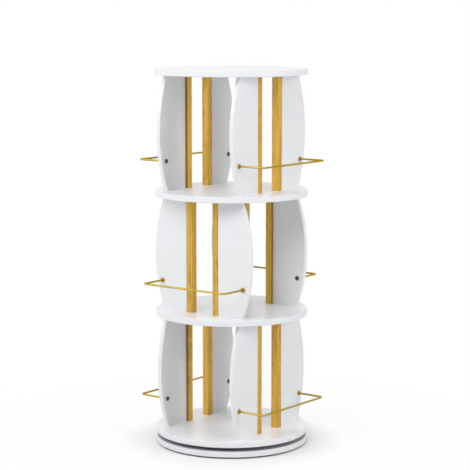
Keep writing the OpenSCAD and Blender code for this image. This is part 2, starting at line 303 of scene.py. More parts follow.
COLOUR, FLOAT, VECTOR = "NodeSocketColor", "NodeSocketFloat", "NodeSocketVector"
GEOMETRY, OBJECT, MATERIAL = "NodeSocketGeometry", "NodeSocketObject", "NodeSocketMaterial"
SOCKETS = {float: FLOAT, int: "NodeSocketInt", tuple: VECTOR}
SURFACE_OUT = {"Colour": COLOUR, "Roughness": FLOAT, "Normal": VECTOR}
MESH_OUT = {"Geometry": GEOMETRY}


def node_tree(name, inputs, outputs=SURFACE_OUT):
    """A new node tree: its wiring, what it is given, and the inputs of its output node. Each of
    the tree's inputs is given here as its default, or else as its kind of socket."""
    kind = "GeometryNodeTree" if outputs is MESH_OUT else "ShaderNodeTree"
    tree = bpy.data.node_groups.new(name, kind)
    for label, value in inputs.items():
        socket = value if isinstance(value, str) else SOCKETS[type(value)]
        made = tree.interface.new_socket(label, in_out="INPUT", socket_type=socket)
        if value is not socket:
            made.default_value = value
    for label, socket in outputs.items():
        tree.interface.new_socket(label, in_out="OUTPUT", socket_type=socket)
    wires = Wiring(tree)
    return wires, wires.node("NodeGroupInput").outputs, wires.node("NodeGroupOutput").inputs


# Finishes that several materials share. The scale of a noise is in ripples to a metre.


def surface(wires, given, out, tone, change, relief, depth):
    """Ends a finish: its tone, the change in its mean roughness, and its relief of some depth."""
    wires.feed(out["Colour"], tone)
    wires.feed(out["Roughness"], wires.add(given["Roughness"], change))
    bump = wires.shader("Bump", {"Height": relief, "Distance": given[depth]})
    wires.feed(out["Normal"], bump)
    return wires.tree


def sprayed_lacquer():
    """Satin lacquer: faint clouds in its tone and the fine ripple of a sprayed coat. Between the
    heights of the gap over the base disc, the faces show a grey that is painted shade."""
    wires, given, out = node_tree(
        "Sprayed lacquer",
        {"Colour": COLOUR, "Shade": COLOUR, "Gap shade": COLOUR, "Roughness": 0.4, "Peel": 1e-5}
        | {"Gap low": 0.0, "Gap high": 0.0},
    )
    where = wires.place()
    clouds = wires.noise(where, 5.0, 3.0)
    patches = wires.noise(where, 46.0, 3.0, 0.6)
    ripple = wires.noise(where, 520.0)
    dust = wires.noise(where, 2400.0, 1.0)
    tone = wires.blend((clouds, 0.6), (patches, 0.4))
    coat = wires.mixed(wires.range(tone, 0.35, 0.65), given["Shade"], given["Colour"])
    height = wires.split(where)[2]
    # Painted shade: between the gap's heights the faces take the grey in place of the lacquer
    over = wires.math("GREATER_THAN", height, given["Gap low"])
    gap_shade_mask = wires.times(over, wires.math("LESS_THAN", height, given["Gap high"]))
    thin = wires.range(patches, 0.3, 0.7, 0.0, 0.10)
    tone = wires.mixed(gap_shade_mask, coat, wires.mixed(thin, given["Gap shade"], given["Shade"]))
    change = wires.add(wires.swing(patches, 0.05), wires.range(dust, 0.4, 0.6, -0.02, 0.02))
    return surface(wires, given, out, tone, change, wires.blend((ripple, 0.8), (dust, 0.2)), "Peel")


def stained_grain():
    """Wood with its grain along Z: wide bands, thin streaks, a mottled figure and open pores."""
    wires, given, out = node_tree(
        "Stained grain",
        {"Light": COLOUR, "Middle": COLOUR, "Dark": COLOUR}
        | {"Roughness": 0.4, "Pore depth": 5e-5, "Painted shade": 0.0},
    )
    where = wires.place()
    slow = {"Vector": wires.stretched(where, (9, 9, 4)), "Scale": 1.0}
    drift = wires.shader("TexNoise", slow, output="Color")
    drift = wires.vector_math("SCALE", {0: drift, "Scale": 0.012})
    waved = wires.vector_math("ADD", {0: where, 1: drift})
    bands = wires.noise(wires.stretched(waved, (95, 95, 1.6)), 1.0, 3.0, 0.55)
    streaks = wires.noise(wires.stretched(waved, (520, 520, 5)), 1.0, 4.0, 0.65)
    pores = wires.noise(wires.stretched(waved, (1900, 1900, 42)), 1.0, 1.0)
    pores = wires.range(pores, 0.60, 0.72)
    figure = wires.noise(wires.stretched(waved, (80, 80, 42)), 1.0, 3.0, 0.65)
    tone = wires.blend((bands, 0.42), (streaks, 0.32), (figure, 0.26))
    deep = wires.mixed(wires.range(tone, 0.39, 0.485), given["Dark"], given["Middle"])
    stain = wires.mixed(wires.range(tone, 0.475, 0.575), deep, given["Light"])
    stain = wires.mixed(wires.times(pores, 0.55), stain, given["Dark"])
    # Painted shade: the mask darkens the stain towards half of the dark grain, in the corner beside
    # a panel
    painted_shade_tone = wires.mixed(0.5, given["Dark"], (0, 0, 0, 1))
    tone = wires.mixed(given["Painted shade"], stain, painted_shade_tone)
    change = wires.add(wires.swing(streaks, 0.06), wires.times(pores, 0.14))
    relief = wires.blend((streaks, 0.35), (pores, -1.0))
    return surface(wires, given, out, tone, change, relief, "Pore depth")


def worked_metal():
    """Metal with the thin lines of drawing or turning, and faint patches in its tone."""
    wires, given, out = node_tree(
        "Worked metal",
        {"Colour": COLOUR, "Toned": COLOUR, "Roughness": 0.3}
        | {"Where": VECTOR, "Lines": (1000, 1000, 10), "Line depth": 1e-5},
    )
    along = wires.vector_math("MULTIPLY", {0: given["Where"], 1: given["Lines"]})
    lines = wires.noise(along, 1.0, 3.0, 0.6)
    place = wires.place()
    patches = wires.noise(place, 70.0, 3.0, 0.6)
    marks = wires.noise(place, 900.0)
    tone = wires.range(wires.blend((lines, 0.5), (patches, 0.5)), 0.38, 0.60)
    tone = wires.mixed(tone, given["Toned"], given["Colour"])
    change = wires.add(wires.swing(lines, 0.07), wires.swing(patches, 0.05))
    relief = wires.add(lines, wires.times(marks, 0.25))
    return surface(wires, given, out, tone, change, relief, "Line depth")


def moulded_skin():
    """Plastic or rubber with the fine grain of its mould."""
    wires, given, out = node_tree(
        "Moulded skin",
        {"Colour": COLOUR, "Shade": COLOUR, "Roughness": 0.6}
        | {"Grain": 1500.0, "Grain depth": 2e-5},
    )
    where = wires.place()
    clouds = wires.noise(where, 60.0, 3.0, 0.6)
    grain = wires.noise(where, given["Grain"], 2.0, 0.6)
    tone = wires.range(wires.blend((clouds, 0.7), (grain, 0.3)), 0.36, 0.62)
    tone = wires.mixed(tone, given["Shade"], given["Colour"])
    return surface(wires, given, out, tone, wires.swing(grain, 0.07), grain, "Grain depth")


def turning_place():
    """Where a point lies on a piece turned round the bookcase's axis: its radius and height."""
    wires, _, out = node_tree("Turning place", {}, {"Where": VECTOR})
    x, y, z = wires.split(wires.place())
    radius = wires.math("SQRT", wires.add(wires.times(x, x), wires.times(y, y)))
    wires.feed(out["Where"], wires.vector(radius, 0.0, z))
    return wires.tree


def painted_corner_shade():
    """A mask where a post stands against its panel, for the painted shade that darkens that corner.
    """
    wires, given, out = node_tree("Painted corner shade", {"Side": 0.05}, {"Painted shade": FLOAT})
    x, y, _ = wires.split(wires.place())
    near = wires.math("MINIMUM", wires.math("ABSOLUTE", x), wires.math("ABSOLUTE", y))
    inside = wires.math("SUBTRACT", given["Side"], near)
    wires.feed(out["Painted shade"], wires.range(inside, 0.1 * MM, 0.5 * MM, 0.8, 0.0))
    return wires.tree


@functools.cache
def shared(make):
    """The node tree that make builds, built once."""
    return make()


def material(name, group, given, attribute=None, place=None, painted_shade_side=None, **constants):
    """A material whose surface comes from a shared group. Constants sit on the shader itself."""
    made = bpy.data.materials.new(name)
    made.use_nodes = True
    wires = Wiring(made.node_tree)
    shader = made.node_tree.nodes["Principled BSDF"]
    if attribute:
        found = wires.shader("Attribute", output="Vector", attribute_name=attribute)
        given = {"Where": found, **given}
    if place:
        given = {"Where": wires.group(shared(place))[0], **given}
    # Painted shade in the corner where a post meets its panel
    if painted_shade_side:
        given = {"Painted shade": wires.group(shared(painted_corner_shade), {"Side": painted_shade_side})[0], **given}
    finish = wires.group(shared(group), given)
    for key, label in zip(("Base Color", "Roughness", "Normal"), SURFACE_OUT):
        wires.feed(shader.inputs[key], finish[label])
    for key, value in constants.items():
        shader.inputs[key.replace("_", " ")].default_value = value
    made.diffuse_color = given.get("Colour", given.get("Middle"))
    return made


def darker(value, factor):
    """The same colour at a share of its brightness."""
    return (*(part * factor for part in value[:3]), 1)


def turned_metal(name, tone, toned, roughness, lines, depth, **where):
    """Metal with the lines of its turning, so many to a metre and so deep. Where is what material
    takes as the place of a point, and is the piece's own turning unless it is given."""
    given = {"Colour": tone, "Toned": toned, "Roughness": roughness}
    given |= {"Lines": (lines, 1, lines), "Line depth": depth}
    where = where or {"attribute": "turned_at"}
    return material(name, worked_metal, given, **where, Metallic=1.0)


def moulded(name, tone, shade, roughness, grain, depth):
    """Plastic or rubber. Shade is the share of its brightness that its darker places have."""
    given = {"Colour": tone, "Shade": darker(tone, shade), "Roughness": roughness}
    given |= {"Grain": grain, "Grain depth": depth}
    return material(name, moulded_skin, given)


def steel(name, fasteners):
    """The bright steel of screws and balls."""
    toned = darker(fasteners.steel, 0.8)
    return turned_metal(name, fasteners.steel, toned, roughness=0.30, lines=1800, depth=5e-6)


def coat_nodes(names, made):
    """Gives CAD nodes a material in place of the frame's plain one."""
    for name in names:
        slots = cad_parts[name].data.materials
        slots.clear()
        slots.append(made)


# Meshes of the small fittings

SHARP_ANGLE = math.radians(32)
CORNER_STEPS = 4
ROUND_SIDES = 48
BALL_RINGS = 12


def even_angles(count):
    """Angles at even steps round a circle."""
    return [math.tau * k / count for k in range(count)]


def lofted(name, sections, angles, ring=False):
    """A closed mesh from stacked outlines. A section is a radius and a height, and a radius may
    be a function of the angle. The first and last sections are points, unless it is a ring."""
    mesh = bpy.data.meshes.new(name)
    build = bmesh.new()
    count = len(angles)
    loops = []
    for radius, height in sections:
        if radius == 0:
            loops.append([build.verts.new((0, 0, height))] * count)
            continue
        outline = []
        for angle in angles:
            r = radius(angle) if callable(radius) else radius
            outline.append(build.verts.new((r * math.cos(angle), r * math.sin(angle), height)))
        loops.append(outline)
    above = loops[1:] + loops[:1] if ring else loops[1:]
    for low, high in zip(loops, above):
        for k in range(count):
            n = (k + 1) % count
            corners = dict.fromkeys([low[k], low[n], high[n], high[k]])
            build.faces.new(list(corners))
    bmesh.ops.recalc_face_normals(build, faces=build.faces)
    build.to_mesh(mesh)
    build.free()
    mesh.shade_smooth()
    mesh.set_sharp_from_angle(angle=SHARP_ANGLE)
    turned = mesh.attributes.new("turned_at", "FLOAT_VECTOR", "POINT")
    for vertex, item in zip(mesh.vertices, turned.data):
        item.vector = (math.hypot(vertex.co.x, vertex.co.y), 0, vertex.co.z)
    return mesh


def rounded(radius, height, corner):
    """Sections round the lower corner of a disc, from its flat face out to its side."""
    made = []
    for k in range(CORNER_STEPS + 1):
        turn = math.pi / 2 * k / CORNER_STEPS
        out, up = corner * math.sin(turn), corner * (1 - math.cos(turn))
        made.append((radius - corner + out, height + up))
    return made


def hexagon(across):
    """The outline of a hexagon, as a radius at an angle."""

    def radius(angle):
        return across / 2 / math.cos((angle + math.pi / 6) % (math.pi / 3) - math.pi / 6)

    return radius


def cross(reach, half_width):
    """The outline of a cross recess, as a radius at an angle."""

    def radius(angle):
        near = (angle + math.pi / 4) % (math.pi / 2) - math.pi / 4
        side = half_width / max(abs(math.sin(near)), 1e-6)
        return min(reach / math.cos(near), side)

    return radius


def threaded(core, crest, height, pitch):
    """The outline of a thread at a height, as a radius at an angle."""

    def radius(angle):
        phase = (height / pitch - angle / math.tau) % 1
        return core + (crest - core) * max(0.0, 1 - abs(phase - 0.5) * 4)

    return radius


def screw_mesh(diameter, total):
    """A countersunk wood screw, its head at z = 0 and its tip below, with a cross recess."""
    crest, head = diameter / 2, diameter
    core, pitch = 0.68 * crest, 0.45 * diameter
    reach, half_width = 0.56 * head, 0.13 * head
    corner = math.degrees(math.atan(half_width / reach))
    steps = [-45, -34, -23, -corner, 0, corner, 23, 34]
    angles = [math.radians(90 * quarter + step) for quarter in range(4) for step in steps]
    tip, shank = 1.5 * diameter, -0.32 * total
    sections = [(0, -total)]
    # Four sections to a turn of the thread
    turns = int((total + shank) / pitch * 4)
    for k in range(1, turns):
        height = -total + k * pitch / 4
        taper = min(1.0, (height + total) / tip)
        sections.append((threaded(core * taper, crest * taper, height, pitch), height))
    # The plain shank, the head and its cross recess
    sections += [(core, shank), (0.9 * crest, shank + 0.3 * pitch), (0.9 * crest, crest - head)]
    edge = 0.05 * diameter
    sections += [(head - edge, -edge), (head, -0.02 * diameter), (0.96 * head, 0)]
    sections += [(cross(reach, half_width), 0)]
    sections += [(cross(0.62 * reach, 0.8 * half_width), -0.3 * head), (0, -0.42 * head)]
    return lofted("screw", sections, angles)


def collar_mesh(rails):
    """A round collar on z = 0, with its bore and a rounded upper rim."""
    bore, rim, top = rails.wire / 2, rails.collar / 2, rails.collar_height
    sections = [(bore, 0), (rim - 0.1 * MM, 0), (rim, 0.1 * MM)]
    sections += [(r, top - h) for r, h in reversed(rounded(rim, 0, 1.1 * MM))]
    sections += [(bore + 0.9 * MM, top), (bore + 0.25 * MM, top - 0.05 * MM)]
    sections += [(bore, top - 0.3 * MM)]
    return lofted("collar", sections, even_angles(ROUND_SIDES), ring=True)


def nut_mesh(rails):
    """The sleeve nut: its flange below z = 0 and its sleeve above."""
    face, edge = -rails.nut_height, rails.nut / 2
    floor = face + rails.socket_depth
    sleeve, end, bore = rails.sleeve / 2, rails.sleeve_length, rails.wire / 2 + 0.05 * MM
    socket, mouth = hexagon(rails.socket), hexagon(rails.socket + 0.5 * MM)
    sections = [(0, floor), (socket, floor), (socket, face + 0.25 * MM)]
    sections += [(mouth, face), (edge - 1.5 * MM, face)]
    sections += rounded(edge, face, 0.8 * MM) + [(edge, -0.15 * MM), (edge - 0.15 * MM, 0)]
    sections += [(sleeve, 0), (sleeve, end - 0.3 * MM), (sleeve - 0.3 * MM, end), (bore, end)]
    sections += [(bore, floor + 1.2 * MM), (0, floor + 1.2 * MM)]
    return lofted("sleeve_nut", sections, even_angles(ROUND_SIDES))


def pad_mesh(bearing):
    """A round pad with three grip ribs in its underside."""
    edge, top = bearing.pad / 2, bearing.pad_height
    sections = [(0, 0), (2.2 * MM, 0)]
    for start in (2.6, 5.2, 7.8):
        sections += [(start * MM, 0.5 * MM), ((start + 1) * MM, 0.5 * MM)]
        sections += [((start + 1.4) * MM, 0), ((start + 2.2) * MM, 0)]
    sections += rounded(edge, 0, 0.8 * MM)
    sections += [(edge, top - 0.2 * MM), (edge - 0.2 * MM, top), (0, top)]
    return lofted("pad", sections, even_angles(ROUND_SIDES))


def plug_mesh(fasteners):
    """A flat round plug with its face at z = 0."""
    edge, low = fasteners.plug / 2, -fasteners.plug_height
    sections = [(0, low), (edge - 0.3 * MM, low), (edge, low + 0.3 * MM), (edge, -0.3 * MM)]
    sections += [(edge - 0.08 * MM, -0.1 * MM), (edge - 0.3 * MM, 0), (0, 0)]
    return lofted("plug", sections, even_angles(ROUND_SIDES))


def dowel_mesh(fasteners):
    """A fluted dowel that stands on z = 0."""
    edge, end, flutes = fasteners.dowel / 2, fasteners.dowel_length, 16

    def fluted(angle):
        return edge - 0.22 * MM * (0.5 + 0.5 * math.cos(flutes * angle))

    sections = [(0, 0), (edge - 0.7 * MM, 0), (fluted, 0.6 * MM), (fluted, end - 0.6 * MM)]
    sections += [(edge - 0.7 * MM, end), (0, end)]
    return lofted("dowel", sections, even_angles(3 * flutes))


def ball_mesh(diameter):
    """A ball round the origin, with its poles on Z."""
    sections = [(0, -diameter / 2)]
    for k in range(1, BALL_RINGS):
        turn = math.pi * k / BALL_RINGS
        sections.append((diameter / 2 * math.sin(turn), -diameter / 2 * math.cos(turn)))
    return lofted("ball", sections + [(0, diameter / 2)], even_angles(2 * BALL_RINGS))


def fitted(mesh, lift=0.0, turn=(0, 0, 0)):
    """The same mesh turned, then lifted along Z."""
    mesh.transform(Euler(turn).to_matrix().to_4x4())
    for vertex in mesh.vertices:
        vertex.co.z += lift
    return mesh


def joined(name, meshes):
    """Several meshes as one."""
    build = bmesh.new()
    for mesh in meshes:
        build.from_mesh(mesh)
    made = bpy.data.meshes.new(name)
    build.to_mesh(made)
    build.free()
    for mesh in meshes:
        bpy.data.meshes.remove(mesh)
    return made


def linked(name, data):
    """A new object in the scene."""
    made = bpy.data.objects.new(name, data)
    bpy.context.scene.collection.objects.link(made)
    return made


# Geometry Nodes trees

COPY_IN = {"Copy": OBJECT, "Random turn": 0.0, "Seed": 0, "Material": MATERIAL}


def finish_tree(wires, geometry, given, out):
    """Ends a tree: real geometry in place of instances, then its material."""
    real = wires.geometry("RealizeInstances", {"Geometry": geometry})
    named = {"Geometry": real, "Material": given["Material"]}
    wires.feed(out["Geometry"], wires.geometry("SetMaterial", named))
    return wires.tree


def copies_on(points, turn, wires, given):
    """The tree's piece on each point, turned about Z, and by chance that is alike in each run."""
    piece = wires.geometry("ObjectInfo", {"Object": given["Copy"]}, output="Geometry")
    reach = given["Random turn"]
    span = {2: wires.times(reach, -1.0), 3: reach, "Seed": given["Seed"]}
    chance = wires.node("FunctionNodeRandomValue", span).outputs[1]
    return wires.copies(points, piece, wires.add(turn, chance))


def ring_tree():
    """Copies at even steps round the bookcase's axis."""
    wires, given, out = node_tree(
        "Ring of copies",
        {"Count": 6, "Radius": 0.1, "Height": 0.0, "First angle": 0.0, **COPY_IN},
        MESH_OUT,
    )
    index = wires.geometry("InputIndex")
    step = wires.math("DIVIDE", math.tau, given["Count"])
    angle = wires.add(given["First angle"], wires.times(index, step))
    x = wires.times(given["Radius"], wires.math("COSINE", angle))
    y = wires.times(given["Radius"], wires.math("SINE", angle))
    place = wires.vector(x, y, given["Height"])
    points = wires.geometry("Points", {"Count": given["Count"], "Position": place})
    return finish_tree(wires, copies_on(points, angle, wires, given), given, out)


def wall_tree():
    """Copies at both ends of both walls of every tier. Each second tier is turned by a quarter."""
    wires, given, out = node_tree(
        "Copies in every wall",
        {"Tiers": 3, "Tier pitch": PITCH, "First height": SHELF_TOP, "Across": 0.1, "Along": 0.1}
        | {"Rows": 1, "Row spacing": 0.0, **COPY_IN},
        MESH_OUT,
    )
    start = wires.vector(given["Across"], given["Along"], 0.0)
    row = wires.line(given["Rows"], start, wires.vector(0.0, given["Row spacing"], 0.0))
    walls = wires.node("GeometryNodeJoinGeometry")
    for x, y in ((1, 1), (1, -1), (-1, 1), (-1, -1)):
        mirrored = {"Geometry": row, "Scale": (x, y, 1)}
        wires.feed(walls.inputs[0], wires.geometry("Transform", mirrored))
    across = wires.split(wires.geometry("InputPosition"))[0]
    faced = wires.times(wires.math("LESS_THAN", across, 0.0), math.pi)
    tier = copies_on(walls.outputs[0], faced, wires, given)
    lowest = wires.vector(0.0, 0.0, given["First height"])
    tiers = wires.line(given["Tiers"], lowest, wires.vector(0.0, 0.0, given["Tier pitch"]))
    odd = wires.math("MODULO", wires.geometry("InputIndex"), 2.0)
    quarter_turn = wires.times(odd, -math.pi / 2)
    return finish_tree(wires, wires.copies(tiers, tier, quarter_turn), given, out)


def rail_tree():
    """A wire bent to a flat U: two legs into the wall and the long bar between them. It keeps, for
    the lines of the drawn metal, where each point lies across and along the wire."""
    wires, given, out = node_tree(
        "Bent wire rail",
        {"Leg start": 0.1, "Reach": 0.2, "Half span": 0.13, "Height": 0.1, "Turn": 0.0}
        | {"Bend radius": 0.01, "Bend steps": 14, "Wire": 0.005, "Wire sides": 28}
        | {"Material": MATERIAL},
        MESH_OUT,
    )
    index = wires.geometry("InputIndex")
    # Of the four corners, the second and third lie out at the bar
    second_on = wires.math("GREATER_THAN", index, 0.5)
    outer = wires.times(second_on, wires.math("LESS_THAN", index, 2.5))
    reach = wires.math("SUBTRACT", given["Reach"], given["Leg start"])
    x = wires.add(given["Leg start"], wires.times(outer, reach))
    side = wires.range(wires.math("GREATER_THAN", index, 1.5), 0.0, 1.0, 1.0, -1.0)
    place = wires.vector(x, wires.times(given["Half span"], side), given["Height"])
    points = wires.geometry("MeshLine", {"Count": 4})
    corners = wires.geometry("SetPosition", {"Geometry": points, "Position": place})
    path = wires.geometry("MeshToCurve", {0: corners})
    bends = {"Curve": path, "Count": given["Bend steps"], "Radius": given["Bend radius"]}
    bent = wires.geometry("FilletCurve", bends, mode="POLY")
    bent = wires.stored(bent, "run", wires.geometry("SplineParameter", output="Length"))
    circle = {"Resolution": given["Wire sides"], "Radius": wires.times(given["Wire"], 0.5)}
    ring = wires.geometry("CurvePrimitiveCircle", circle)
    ring = wires.stored(ring, "around", wires.geometry("InputPosition"), "FLOAT_VECTOR")
    swept = {"Curve": bent, "Profile Curve": ring, "Fill Caps": True}
    tube = wires.geometry("CurveToMesh", swept)
    along = wires.geometry("InputNamedAttribute", {"Name": "run"})
    named = {"Name": "around"}
    across = wires.geometry("InputNamedAttribute", named, data_type="FLOAT_VECTOR")
    cross_x, cross_y, _ = wires.split(across)
    drawn = wires.vector(cross_x, cross_y, along)
    tube = wires.stored(tube, "drawn_at", drawn, "FLOAT_VECTOR")
    smooth = wires.geometry("SetShadeSmooth", {"Geometry": tube})
    turn = wires.vector(0.0, 0.0, given["Turn"])
    turned = wires.geometry("Transform", {"Geometry": smooth, "Rotation": turn})
    return finish_tree(wires, turned, given, out)


def grown(name, make, given, body, replaced, copy=None):
    """Runs a Geometry Nodes tree and keeps the result as a plain mesh that rides on a body."""
    tree = shared(make)
    piece = linked(name, bpy.data.meshes.new(name))
    if copy is not None:
        given = {**given, "Copy": bpy.data.objects.new(name + "_copy", copy)}
    modifier = piece.modifiers.new("Build", "NODES")
    modifier.node_group = tree
    sockets = {s.name: s.identifier for s in tree.interface.items_tree if s.in_out == "INPUT"}
    for label, value in given.items():
        modifier[sockets[label]] = value
    state = bpy.context.evaluated_depsgraph_get()
    mesh = bpy.data.meshes.new_from_object(
        piece.evaluated_get(state), preserve_all_data_layers=True, depsgraph=state
    )
    piece.modifiers.clear()
    blank, piece.data = piece.data, mesh
    mesh.name = name
    bpy.data.meshes.remove(blank)
    if copy is not None:
        bpy.data.objects.remove(given["Copy"])
        bpy.data.meshes.remove(copy)
    if not mesh.polygons:
        raise RuntimeError(f"{name} came out empty")
    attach(piece, body)
    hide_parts(*replaced)
    return piece


# Operators


class BOOKCASE_OT_boards(bpy.types.Operator):
    """Coat the shelves, panels and base disc in white satin lacquer"""

    bl_idname = "bookcase.boards"
    bl_label = "Coat boards"

    def execute(self, context):
        boards = context.scene.bookcase_boards
        given = {"Colour": boards.lacquer, "Shade": boards.shade, "Roughness": boards.roughness}
        # The grey of the faces in the gap is painted shade
        given |= {"Peel": boards.peel, "Gap shade": boards.gap_shade}
        given |= {"Gap low": BASE_TOP - 0.1 * MM, "Gap high": SHELF_UNDER + 0.1 * MM}
        coat_nodes(BOARDS, material("white_lacquer", sprayed_lacquer, given, Coat_Weight=0.15))
        return {"FINISHED"}


class BOOKCASE_OT_posts(bpy.types.Operator):
    """Stain the posts gold, with their grain along them"""

    bl_idname = "bookcase.posts"
    bl_label = "Stain posts"

    def execute(self, context):
        posts = context.scene.bookcase_posts
        given = {"Light": posts.light, "Middle": posts.middle, "Dark": posts.dark}
        given |= {"Roughness": posts.roughness, "Pore depth": posts.pore}
        shine = {"Metallic": posts.gold}
        # The posts get painted shade on their faces against the panels
        made = material("gold_stained_wood", stained_grain, given, painted_shade_side=POST_SIDE, **shine)
        coat_nodes(POSTS, made)
        return {"FINISHED"}


class BOOKCASE_OT_rails(bpy.types.Operator):
    """Bend the six guard rails from drawn brass wire"""

    bl_idname = "bookcase.rails"
    bl_label = "Bend rails"

    def execute(self, context):
        rails = context.scene.bookcase_rails
        given = {"Colour": rails.brass, "Toned": rails.worn, "Roughness": rails.roughness}
        given |= {"Lines": (1500, 1500, 9), "Line depth": 12e-6}
        shine = {"Metallic": 1.0, "Specular_Tint": rails.edge}
        made = material("brushed_brass", worked_metal, given, attribute="drawn_at", **shine)
        for name in RAILS:
            low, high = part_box(name)
            middle = (low + high) / 2
            shape = {
                "Leg start": RAIL_LOW.x,
                "Reach": RAIL_HIGH.x - rails.wire / 2,
                "Half span": RAIL_SPAN,
                "Height": middle.z,
                "Turn": math.atan2(middle.y, middle.x),
                "Bend radius": rails.bend,
                "Wire": rails.wire,
                "Material": made,
            }
            wire = name.replace("rail", "guard_wire")
            grown(wire, rail_tree, shape, "carousel", [name])
        return {"FINISHED"}


SIDEWAYS = (0, math.pi / 2, 0)
UPSIDE_DOWN = (math.pi, 0, 0)
ON_RAIL_LEGS = {"Along": RAIL_SPAN, "First height": SHELF_TOP + RAIL_UP}


class BOOKCASE_OT_collars(bpy.types.Operator):
    """Slide a turned collar over each rail leg, against the wall"""

    bl_idname = "bookcase.collars"
    bl_label = "Fit collars"

    def execute(self, context):
        rails = context.scene.bookcase_rails
        brass, worn = darker(rails.brass, 0.9), darker(rails.worn, 0.88)
        made = turned_metal("turned_brass", brass, worn, rails.roughness, lines=2600, depth=8e-6)
        shape = {**ON_RAIL_LEGS, "Across": PANEL_HIGH.x, "Material": made}
        ring = fitted(collar_mesh(rails), turn=SIDEWAYS)
        grown("turned_collars", wall_tree, shape, "carousel", ["rail_collars"], ring)
        return {"FINISHED"}


class BOOKCASE_OT_nuts(bpy.types.Operator):
    """Set a sleeve nut in the inner face of the wall behind each rail leg"""

    bl_idname = "bookcase.nuts"
    bl_label = "Fit sleeve nuts"

    def execute(self, context):
        rails = context.scene.bookcase_rails
        toned = darker(rails.bronze, 0.6)
        turning = {"roughness": 0.38, "lines": 2200, "depth": 8e-6}
        made = turned_metal("dark_bronze", rails.bronze, toned, **turning)
        shape = {**ON_RAIL_LEGS, "Across": PANEL_LOW.x, "Material": made}
        nut = fitted(nut_mesh(rails), turn=SIDEWAYS)
        grown("sleeve_nuts", wall_tree, shape, "carousel", ["rail_nuts"], nut)
        return {"FINISHED"}


class BOOKCASE_OT_screws(bpy.types.Operator):
    """Drive the screws of the posts and of both bearing rings"""

    bl_idname = "bookcase.screws"
    bl_label = "Drive screws"

    def execute(self, context):
        screws = context.scene.bookcase_fasteners
        turns = {"Random turn": math.pi, "Seed": screws.turn_seed}
        turns["Material"] = steel("zinc_plated_screws", screws)
        shelf = SHELF_TOP - SHELF_UNDER
        size = screws.post_screw, screws.post_screw_length
        lower = fitted(screw_mesh(*size), screws.sink - shelf, UPSIDE_DOWN)
        lift = TIER_HEIGHT + shelf - screws.plug_height - screws.sink
        pair = joined("post_screw_pair", [lower, fitted(screw_mesh(*size), lift)])
        shape = {**turns, "Across": POST_MIDDLE.x, "Along": POST_MIDDLE.y}
        name = "cross_head_post_screws"
        grown(name, wall_tree, shape, "carousel", ["post_screws"], pair)

        # The screws of the upper ring are driven from below. A head is twice as wide as its thread.
        for name, node, body, from_below in (
            ("cross_head_base_screws", "base_screws", "base", False),
            ("cross_head_turntable_screws", "turntable_screws", "carousel", True),
        ):
            low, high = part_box(node)
            screw = screw_mesh(screws.ring_screw, screws.ring_screw_length)
            if from_below:
                fitted(screw, turn=UPSIDE_DOWN)
            head = low.z if from_below else high.z
            shape = {**turns, "Radius": high.x - screws.ring_screw, "Height": head}
            grown(name, ring_tree, shape, body, [node], screw)
        return {"FINISHED"}


class BOOKCASE_OT_plugs(bpy.types.Operator):
    """Press a flat plug over each screw that is driven from above"""

    bl_idname = "bookcase.plugs"
    bl_label = "Fit cover plugs"

    def execute(self, context):
        white = context.scene.bookcase_boards.lacquer
        skin = {"shade": 0.95, "roughness": 0.5, "grain": 1800, "depth": 8e-6}
        made = moulded("plug_plastic_white", white, **skin)
        shape = {"Across": POST_MIDDLE.x, "Along": POST_MIDDLE.y, "Material": made}
        shape["First height"] = SHELF_TOP + PITCH
        plug = plug_mesh(context.scene.bookcase_fasteners)
        name = "flat_cover_plugs"
        grown(name, wall_tree, shape, "carousel", ["cover_plugs"], plug)
        return {"FINISHED"}


class BOOKCASE_OT_dowels(bpy.types.Operator):
    """Set the fluted dowels between the panels and the shelves"""

    bl_idname = "bookcase.dowels"
    bl_label = "Set dowels"

    def execute(self, context):
        fasteners = context.scene.bookcase_fasteners
        given = {"Light": (0.66, 0.50, 0.31, 1), "Middle": (0.56, 0.39, 0.21, 1)}
        given |= {"Dark": (0.36, 0.22, 0.10, 1), "Roughness": 0.55, "Pore depth": 6e-5}
        lifts = (-DOWEL_IN_SHELF, TIER_HEIGHT + DOWEL_IN_SHELF - fasteners.dowel_length)
        pair = joined("dowel_pair", [fitted(dowel_mesh(fasteners), lift) for lift in lifts])
        shape = {
            "Across": (PANEL_LOW.x + PANEL_HIGH.x) / 2,
            "Along": PANEL_LOW.y + fasteners.dowel_inset,
            "Rows": 2,
            "Row spacing": fasteners.dowel_spacing,
            "Material": material("beech_dowels", stained_grain, given),
        }
        grown("fluted_dowels", wall_tree, shape, "carousel", ["panel_dowels"], pair)
        return {"FINISHED"}


class BOOKCASE_OT_bearing(bpy.types.Operator):
    """Finish the bearing rings, and roll the balls in their cage"""

    bl_idname = "bookcase.bearing"
    bl_label = "Finish bearing"

    def execute(self, context):
        bearing = context.scene.bookcase_bearing
        metal, toned = bearing.aluminium, darker(bearing.aluminium, 0.86)
        turning = {"roughness": 0.34, "lines": 1400, "depth": 15e-6, "place": turning_place}
        rings = turned_metal("turned_aluminium", metal, toned, **turning)
        coat_nodes(["outer_ring", "inner_ring"], rings)
        skin = {"shade": 0.9, "roughness": 0.5, "grain": 900, "depth": 1e-5}
        coat_nodes(["ball_cage"], moulded("natural_nylon", bearing.nylon, **skin))
        shape = {
            "Count": bearing.ball_count,
            "Radius": BALLS_HIGH.x - bearing.ball / 2,
            "Height": (BALLS_LOW.z + BALLS_HIGH.z) / 2,
            "Material": steel("polished_balls", context.scene.bookcase_fasteners),
        }
        ball = ball_mesh(bearing.ball)
        grown("steel_balls", ring_tree, shape, "ball_train", ["balls"], ball)
        return {"FINISHED"}


